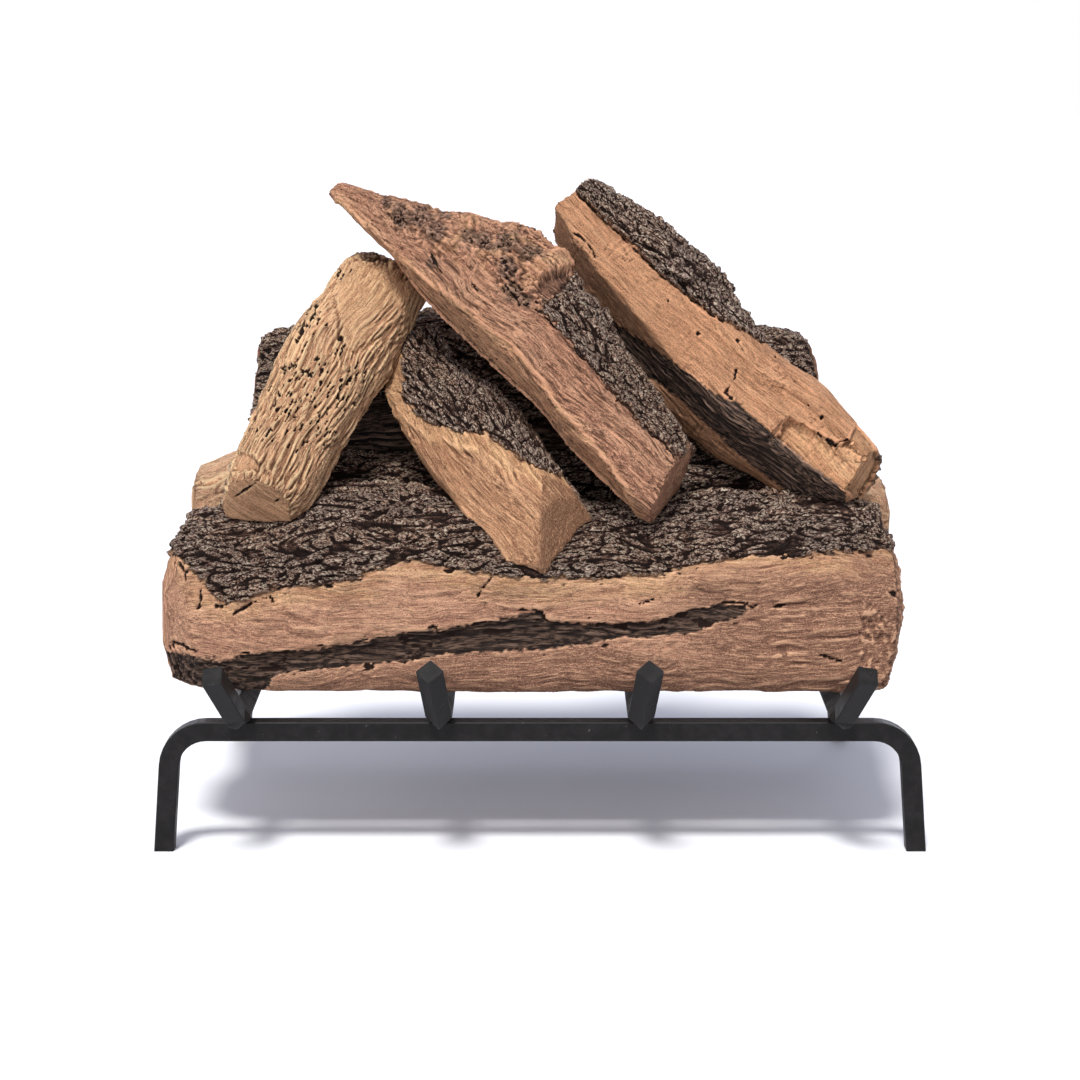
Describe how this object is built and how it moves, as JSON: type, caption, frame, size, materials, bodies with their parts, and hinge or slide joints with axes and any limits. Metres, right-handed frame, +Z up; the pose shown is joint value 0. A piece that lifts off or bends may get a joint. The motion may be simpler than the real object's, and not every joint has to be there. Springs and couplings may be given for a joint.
{
  "type": "gas log set",
  "caption": "Pile of cast refractory split logs with bark and split wood faces, resting on a black square-bar grate with bent-up front fingers; each log lifts off.",
  "frame": {"origin": "on the floor, below the middle of the whole set", "axes": "+X to the viewer's right along the logs, +Y to the back, +Z up"},
  "size_m": [0.632, 0.4453, 0.5335],
  "materials": {
    "grate_steel": "satin black paint on square steel bar",
    "weld_bead": "satin black paint on weld",
    "refractory_log": "matt cast refractory cement, coloured as split wood and bark"
  },
  "bodies": {
    "grate": {"front_rail": "grate_steel", "rear_rail": "grate_steel", "grate_bar_1": "grate_steel", "grate_bar_2": "grate_steel", "grate_bar_3": "grate_steel", "grate_bar_4": "grate_steel", "weld_front_1_left": "weld_bead", "weld_front_1_right": "weld_bead", "weld_rear_1_left": "weld_bead", "weld_rear_1_right": "weld_bead", "weld_front_2_left": "weld_bead", "weld_front_2_right": "weld_bead", "weld_rear_2_left": "weld_bead", "weld_rear_2_right": "weld_bead", "weld_front_3_left": "weld_bead", "weld_front_3_right": "weld_bead", "weld_rear_3_left": "weld_bead", "weld_rear_3_right": "weld_bead", "weld_front_4_left": "weld_bead", "weld_front_4_right": "weld_bead", "weld_rear_4_left": "weld_bead", "weld_rear_4_right": "weld_bead"},
    "rear_base_log": {"rear_base_log": "refractory_log"},
    "front_log": {"front_log": "refractory_log"},
    "rear_top_log": {"rear_top_log": "refractory_log"},
    "centre_log": {"centre_log": "refractory_log"},
    "left_log": {"left_log": "refractory_log"},
    "right_log": {"right_log": "refractory_log"},
    "long_top_log": {"long_top_log": "refractory_log"}
  },
  "joints": [
    {"name": "rear_base_lift", "type": "slide", "parent": "grate", "child": "rear_base_log", "axis": [0, 0, 1], "range_m": [0, 0.08]},
    {"name": "front_lift", "type": "slide", "parent": "rear_base_log", "child": "front_log", "axis": [0, 0, 1], "range_m": [0, 0.18]},
    {"name": "rear_top_lift", "type": "slide", "parent": "front_log", "child": "rear_top_log", "axis": [0, 0, 1], "range_m": [0, 0.12]},
    {"name": "centre_lift", "type": "slide", "parent": "rear_top_log", "child": "centre_log", "axis": [0, 0, 1], "range_m": [0, 0.18]},
    {"name": "left_lift", "type": "slide", "parent": "centre_log", "child": "left_log", "axis": [0, 0, 1], "range_m": [0, 0.18]},
    {"name": "right_lift", "type": "slide", "parent": "left_log", "child": "right_log", "axis": [0, 0, 1], "range_m": [0, 0.24]},
    {"name": "long_top_lift", "type": "slide", "parent": "right_log", "child": "long_top_log", "axis": [0, 0, 1], "range_m": [0, 0.3]}
  ]
}
